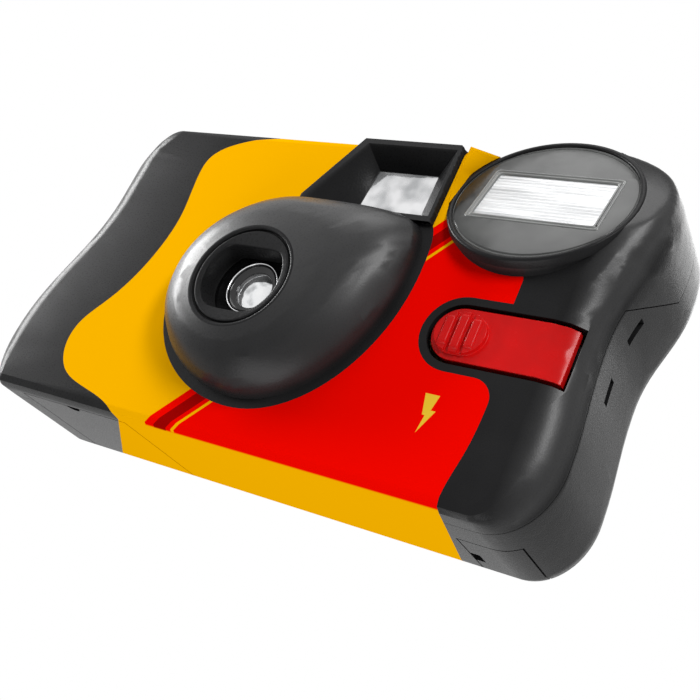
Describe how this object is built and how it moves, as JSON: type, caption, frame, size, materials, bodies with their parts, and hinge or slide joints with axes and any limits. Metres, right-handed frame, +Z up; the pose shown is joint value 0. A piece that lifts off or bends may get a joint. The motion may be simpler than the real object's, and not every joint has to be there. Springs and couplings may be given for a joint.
{
  "type": "disposable film camera",
  "caption": "Single-use film camera with a moulded shell, lens dome, viewfinder, round flash turret, printed wrap label and a complete film, shutter and flash train inside",
  "frame": {"origin": "the middle of the flat face that the camera stands on", "axes": "+Z up, the front with the lens faces -Y, +X to the right as seen from the front, on the side of the flash"},
  "size_m": [0.1162, 0.039, 0.0677],
  "materials": {
    "cover_plastic": "fine-grained black moulded shell",
    "frame_plastic": "plain black inner moulding",
    "label": "printed amber and red wrap with straight bands",
    "button_red": "polished red moulding",
    "bezel": "smoked glossy disc",
    "clear": "clear polished moulding",
    "grey_plastic": "grey inner moulding",
    "white_plastic": "white inner moulding",
    "steel": "thin pressed sheet",
    "shell_metal": "plain coated sheet",
    "bright": "bright reflector foil",
    "felt": "black pile",
    "film": "brown film base",
    "board": "tan laminate",
    "sleeve": "dark sleeve",
    "cell": "plain coated can",
    "brass": "plain strip"
  },
  "bodies": {
    "camera": {"aperture_plate": "frame_plastic", "battery": "cell", "battery_contact_bottom": "steel", "battery_contact_top": "steel", "capacitor": "sleeve", "cassette_caps": "steel", "cassette_shell": "shell_metal", "counter_window": "clear", "film_strip": "film", "flash_bezel": "bezel", "flash_board": "board", "flash_reflector": "bright", "flash_tube": "clear", "flash_window": "clear", "front_cover": "cover_plastic", "label_wrap": "label", "lens_retainer": "frame_plastic", "light_pipe": "clear", "light_trap_felt": "felt", "main_frame": "frame_plastic", "mechanism_cover": "frame_plastic", "ready_lamp": "clear", "rear_cover": "cover_plastic", "switch_contact": "brass", "taking_lens": "clear", "transformer": "sleeve", "trigger_coil": "brass", "viewfinder_front_lens": "clear", "viewfinder_rear_lens": "clear"},
    "advance_wheel": {"thumbwheel": "grey_plastic", "cassette_spool": "white_plastic"},
    "film_sprocket": {"sprocket": "white_plastic"},
    "frame_counter": {"counter_disc": "white_plastic"},
    "film_supply": {"supply_spool": "white_plastic", "film_roll": "film"},
    "release_button": {"shutter_button": "frame_plastic"},
    "meter_lever": {"metering_lever": "white_plastic"},
    "cocking_lever": {"high_energy_lever": "white_plastic"},
    "blade": {"shutter_blade": "steel"},
    "flash_switch": {"flash_button": "button_red"},
    "film_hatch": {"film_door": "cover_plastic", "label_flap": "label"},
    "cell_hatch": {"battery_door": "cover_plastic"}
  },
  "joints": [
    {"name": "wheel_turn", "type": "hinge", "parent": "camera", "child": "advance_wheel", "pos_m": [-0.0335, 0.0002, 0.0544], "axis": [0, 0, 1], "continuous": true},
    {"name": "sprocket_turn", "type": "hinge", "parent": "camera", "child": "film_sprocket", "pos_m": [-0.011, 0.0046, 0.0397], "axis": [0, 0, 1], "continuous": true},
    {"name": "counter_turn", "type": "hinge", "parent": "camera", "child": "frame_counter", "pos_m": [-0.0076, -0.0002, 0.0544], "axis": [0, 0, 1], "continuous": true},
    {"name": "supply_turn", "type": "hinge", "parent": "camera", "child": "film_supply", "pos_m": [0.0274, 0.0031, 0.0255], "axis": [0, 0, 1], "continuous": true},
    {"name": "release_press", "type": "slide", "parent": "camera", "child": "release_button", "axis": [0, 0, -1], "range_m": [0, 0.0012], "stiffness_N_per_m": 1500, "springref_m": -0.0006},
    {"name": "meter_swing", "type": "hinge", "parent": "camera", "child": "meter_lever", "pos_m": [-0.0125, -0.0035, 0.0514], "axis": [0, 0, 1], "range_deg": [0, 8], "stiffness_Nm_per_rad": 0.002, "springref_deg": -11.46},
    {"name": "cocking_swing", "type": "hinge", "parent": "camera", "child": "cocking_lever", "pos_m": [-0.0045, -0.0045, 0.0514], "axis": [0, 0, 1], "range_deg": [-10, 0], "stiffness_Nm_per_rad": 0.003, "springref_deg": 11.46},
    {"name": "blade_swing", "type": "hinge", "parent": "camera", "child": "blade", "pos_m": [-0.0077, -0.0164, 0.0264], "axis": [0, 1, 0], "range_deg": [-35, 0]},
    {"name": "flash_press", "type": "hinge", "parent": "camera", "child": "flash_switch", "pos_m": [0.0503, -0.0109, 0.0265], "axis": [0, 0, 1], "range_deg": [-3, 0], "stiffness_Nm_per_rad": 0.5, "springref_deg": 1.72},
    {"name": "film_door_swing", "type": "hinge", "parent": "camera", "child": "film_hatch", "pos_m": [-0.0334, 0.01275, 0], "axis": [1, 0, 0], "range_deg": [0, 90]},
    {"name": "cell_door_swing", "type": "hinge", "parent": "camera", "child": "cell_hatch", "pos_m": [0.0454, 0.01235, 0], "axis": [1, 0, 0], "range_deg": [0, 90]}
  ],
  "couplings": [
    {"joint": "sprocket_turn", "follows": "wheel_turn", "ratio": 1},
    {"joint": "counter_turn", "follows": "wheel_turn", "ratio": -0.0625},
    {"joint": "supply_turn", "follows": "wheel_turn", "ratio": 1},
    {"joint": "blade_swing", "follows": "cocking_swing", "ratio": 3.5}
  ]
}
